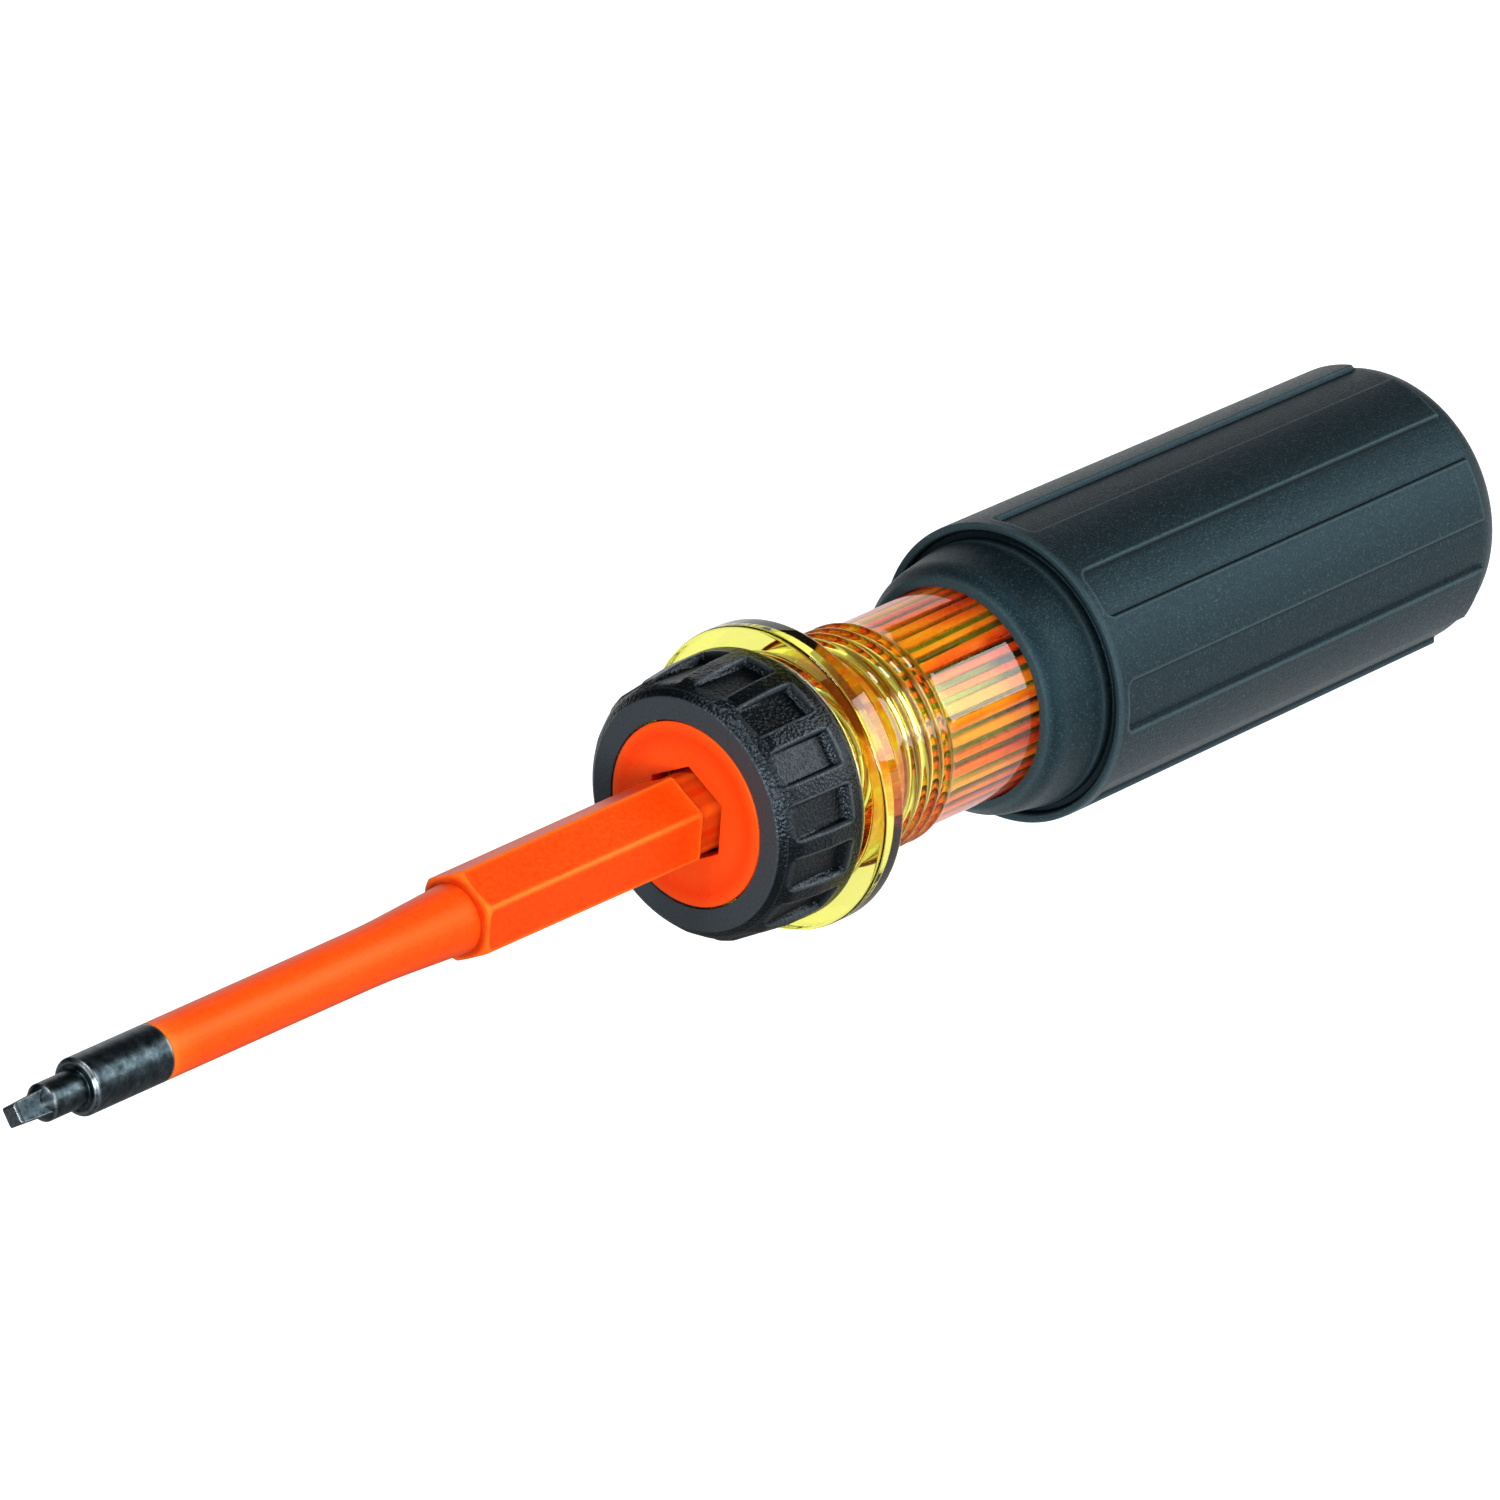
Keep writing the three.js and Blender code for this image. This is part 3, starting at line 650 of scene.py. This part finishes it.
# ------------------------------------------------------------------ lock plate
tp = angles_around([25 + 60 * k for k in range(6)], 5.0, 0.8, 3.0)
hole = polygon_radius(tp, 6, 9.2 / 2, 25, 90)
lead = polygon_radius(tp, 6, 9.4 / 2, 25, 90)
full = np.ones(len(tp))
PX, PR = [], []
for x, r in ((-2.5, hole), (-0.30, hole), (-0.20, hole + 0.02), (-0.03, lead - 0.03), (0.0, lead + 0.03),
             (0.0, full * 6.6), (0.0, full * 8.4), (0.0, full * 9.50), (-0.04, full * 9.63), (-0.13, full * 9.72),
             (-0.3, full * 9.75), (-2.3, full * 9.75), (-2.5, full * 9.55)):
    PX.append(np.full(len(tp), x)); PR.append(r)
plate = surface("lock_plate_orange", np.array(PX), np.array(PR), tp, closed=True, sharp=30)
dress(plate, PLATE_ORANGE, "lock_collar", "insulation_orange", "lock_plate")

# ------------------------------------------------------------------ blade insulation
MID = -0.3


def build_sleeve():
    th = angles_around([25 + 60 * k for k in range(6)], 6.4, 0.8, 2.5)
    def round_r(x):
        d = min(45.6 - x, 12.2)
        return 3.0 + 0.02 * (77.5 - x) / 32.0 + 0.0535 * 0.5 * (d + math.sqrt(d * d + 4.0)) - 0.0035
    xs = np.concatenate([[77.5, 77.5 - 0.08, 77.3], np.linspace(76.5, 52, 10), np.linspace(51, 35.0, 18),
                         np.arange(34.6, 31.9, -0.1), np.linspace(31.4, 3.0, 14), [2.6, 2.45, 2.32, 2.23, 2.2, 2.2]])
    rows = []
    for k, x in enumerate(xs):
        af = 8.6 + (8.8 - 8.6) * (33.4 - x) / 30.4
        hexr = polygon_radius(th, 6, af / 2, 25, 45)
        rr = np.full(len(th), round_r(x))
        if x <= 34.15:
            cone = 3.70 + (34.15 - x) * 4.2 if x > 33.95 else 4.54 + (33.95 - x) * 0.9
            r = np.maximum(np.minimum(hexr, cone), rr)
            if x < 2.6:
                r = np.minimum(r, hexr - (0.22 if x <= 2.21 else 0.22 * ((2.6 - x) / 0.4) ** 2))
        else:
            r = rr
        if k == 0:
            r = np.full(len(th), 2.86)
        if k == len(xs) - 1:
            r = np.full(len(th), 4.25)
        rows.append((x, r))
    front = rows
    back = [(2 * MID - x, r) for x, r in rows[::-1]]
    bore = [(2 * MID - 77.5, np.full(len(th), 2.75)), (77.5, np.full(len(th), 2.75))]
    allr = front + back + bore
    X = np.array([np.full(len(th), x) for x, _ in allr])
    R = np.array([r for _, r in allr])
    return X, R, th


sx, sr, sth = build_sleeve()
sleeve = surface("blade_sleeve_orange", sx, sr, sth, closed=True, sharp=28)
dress(sleeve, ORANGE, "blade", "insulation_orange", "blade_sleeve")


# ------------------------------------------------------------------ blade steel
def build_shaft():
    th = angles_around([33 + 45 + 90 * k for k in range(4)], 8.0, 1.0, 3.0)
    def square(side):
        return polygon_radius(th, 4, side / 2, 33 + 45, 38)
    def end(sides, sign):
        base, below, tip = sides
        rows = []
        P = fillet([(77.6, 2.2, 0), (77.6, 3.0, 0.06), (88.05, 3.0, 0.12), (88.4, 2.62, 0.10), (88.4, 1.95, 0.12), (93.0, 1.95, 0.12),
                    (93.3, 1.72, 0.0)], seg=4)
        P = np.array(list(P[:1]) + list(densify(P[1:], 0.22)))
        for x, r in P:
            rows.append((x, np.full(len(th), r)))
        for x in np.arange(93.36, 95.0, 0.06):
            cone = 1.72 - (x - 93.3) * 0.62
            sq = square(base + (below - base) * (x - 93.2) / (96.85 - 93.2))
            rows.append((x, np.maximum(cone, sq)))
        for x in (95.4, 95.9, 96.4, 96.7, 96.82):
            rows.append((x, square(base + (below - base) * (x - 93.2) / (96.85 - 93.2))))
        for x, s in ((96.9, below - 0.03), (97.0, below - 0.13), (97.1, below - 0.27), (97.17, tip), (97.2, tip - 0.1)):
            rows.append((x, square(s)))
        return rows
    front = end((2.5, 2.12, 1.72), 1)
    rear = [(2 * MID - x, r) for x, r in end((3.05, 2.7, 2.3), -1)]
    allr = rear[::-1] + front
    X = np.array([np.full(len(th), x) for x, _ in allr])
    R = np.array([r for _, r in allr])
    return X, R, th


bx, br, bth = build_shaft()
shaft = surface("blade_shaft_steel", bx, br, bth, closed=False, cap0=True, cap1=True, sharp=30, gain=0.22)
dress(shaft, BLACK_STEEL, "blade", "blade_steel", "blade_shaft")

# ------------------------------------------------------------------ wave washer, smooth
wp = fillet([(-11.88, 12.2, 0.05), (-11.88, 13.6, 0.08), (-11.62, 13.6, 0.08), (-11.62, 12.2, 0.05)], seg=3, closed=True)
tw = np.arange(180) * 2.0
WX = wp[:, 0][:, None] + 0.13 * np.cos(3 * np.radians(tw))[None, :]
WR = np.repeat(wp[:, 1][:, None], len(tw), axis=1)
washer = surface("spring_washer_wave", WX, WR, tw, closed=True, sharp=40)
dress(washer, SPRING, "handle", "spring_steel", "spring_washer")

for node, mat in (("collar_retaining_ring", SPRING), ("blade_underlayer", WHITE)):
    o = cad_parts[node]
    o.data.materials.clear()
    o.data.materials.append(mat)
    o.data.shade_smooth()

# ------------------------------------------------------------------ stage and light
def plane(name, size, z):
    me = bpy.data.meshes.new(name)
    s = size / 2
    me.from_pydata([(-s, -s, z), (s, -s, z), (s, s, z), (-s, s, z)], [], [(0, 1, 2, 3)])
    ob = bpy.data.objects.new(name, me)
    bpy.context.scene.collection.objects.link(ob)
    return ob


floor = plane("floor", 12.0, -0.0004)
fm = Mat("floor_pale")
fm.color(fm.ramp(fm.noise(3.0, 2.0), [(0.3, (0.20, 0.20, 0.201)), (0.7, (0.22, 0.22, 0.221))]))
fm.set(Roughness=0.9, Specular_IOR_Level=0.1, Emission_Strength=1.0)
lp = fm.node("ShaderNodeLightPath")
fsep = fm.node("ShaderNodeSeparateXYZ")
fm.link(fm.co, fsep.inputs[0])
glow = fm.map(fsep.outputs[0], X0 - 0.040, X0 - 0.012, 0.80, 0.12)
glow = fm.math("MAXIMUM", glow, fm.math("MULTIPLY", lp.outputs["Is Camera Ray"], 1.25))
glow = fm.math("MAXIMUM", glow, fm.math("MULTIPLY", lp.outputs["Is Transmission Ray"], 0.95))
fm.link(glow, fm.b.inputs["Emission Strength"])
fm.b.inputs["Emission Color"].default_value = (1.0, 1.0, 1.0, 1.0)
floor.data.materials.append(fm.m)

world = bpy.data.worlds.new("studio")
bpy.context.scene.world = world
world.use_nodes = True
bg = world.node_tree.nodes["Background"]
bg.inputs["Color"].default_value = (1.0, 1.0, 1.0, 1.0)
wt = world.node_tree
wlp = wt.nodes.new("ShaderNodeLightPath")
wmr = wt.nodes.new("ShaderNodeMapRange")
wmr.inputs[3].default_value = 0.05
wmr.inputs[4].default_value = 0.50
wt.links.new(wlp.outputs["Is Transmission Ray"], wmr.inputs[0])
wt.links.new(wmr.outputs[0], bg.inputs["Strength"])

TARGET = Vector((X0 - 0.01, YC, ZC))


def area(name, direction, dist, sx, sy, power, tall=(0.0, 0.0, 1.0), color=(1, 1, 1)):
    L = bpy.data.lights.new(name, "AREA")
    L.shape = "RECTANGLE"
    L.size, L.size_y = sx, sy
    L.energy = power
    L.color = color
    o = bpy.data.objects.new(name, L)
    bpy.context.scene.collection.objects.link(o)
    d = Vector(direction).normalized()
    o.location = TARGET + d * dist
    ay = (Vector(tall) - Vector(tall).dot(d) * d).normalized()      # the light's own height runs this way
    ax = ay.cross(d)
    o.matrix_world = Matrix.Translation(o.location) @ Matrix((ax, ay, d)).transposed().to_4x4()
    return o


area("key_front_low", (0.20, 0.95, 0.22), 0.9, 0.90, 0.24, 3.7)
area("window", (-0.693, 0.570, 0.390), 0.9, 0.50, 0.58, 5.2, tall=(0.0, -0.567, 0.824))
area("back_low", (-0.693, -0.680, 0.240), 0.9, 0.80, 0.45, 1.1)
area("top_front", (0.62, 0.05, 0.78), 1.2, 0.5, 0.3, 7.0)
area("front", (0.80, 0.52, 0.12), 1.2, 0.35, 0.30, 10.5)

bpy.context.scene.view_settings.view_transform = "Standard"
bpy.context.scene.view_settings.exposure = 0.0
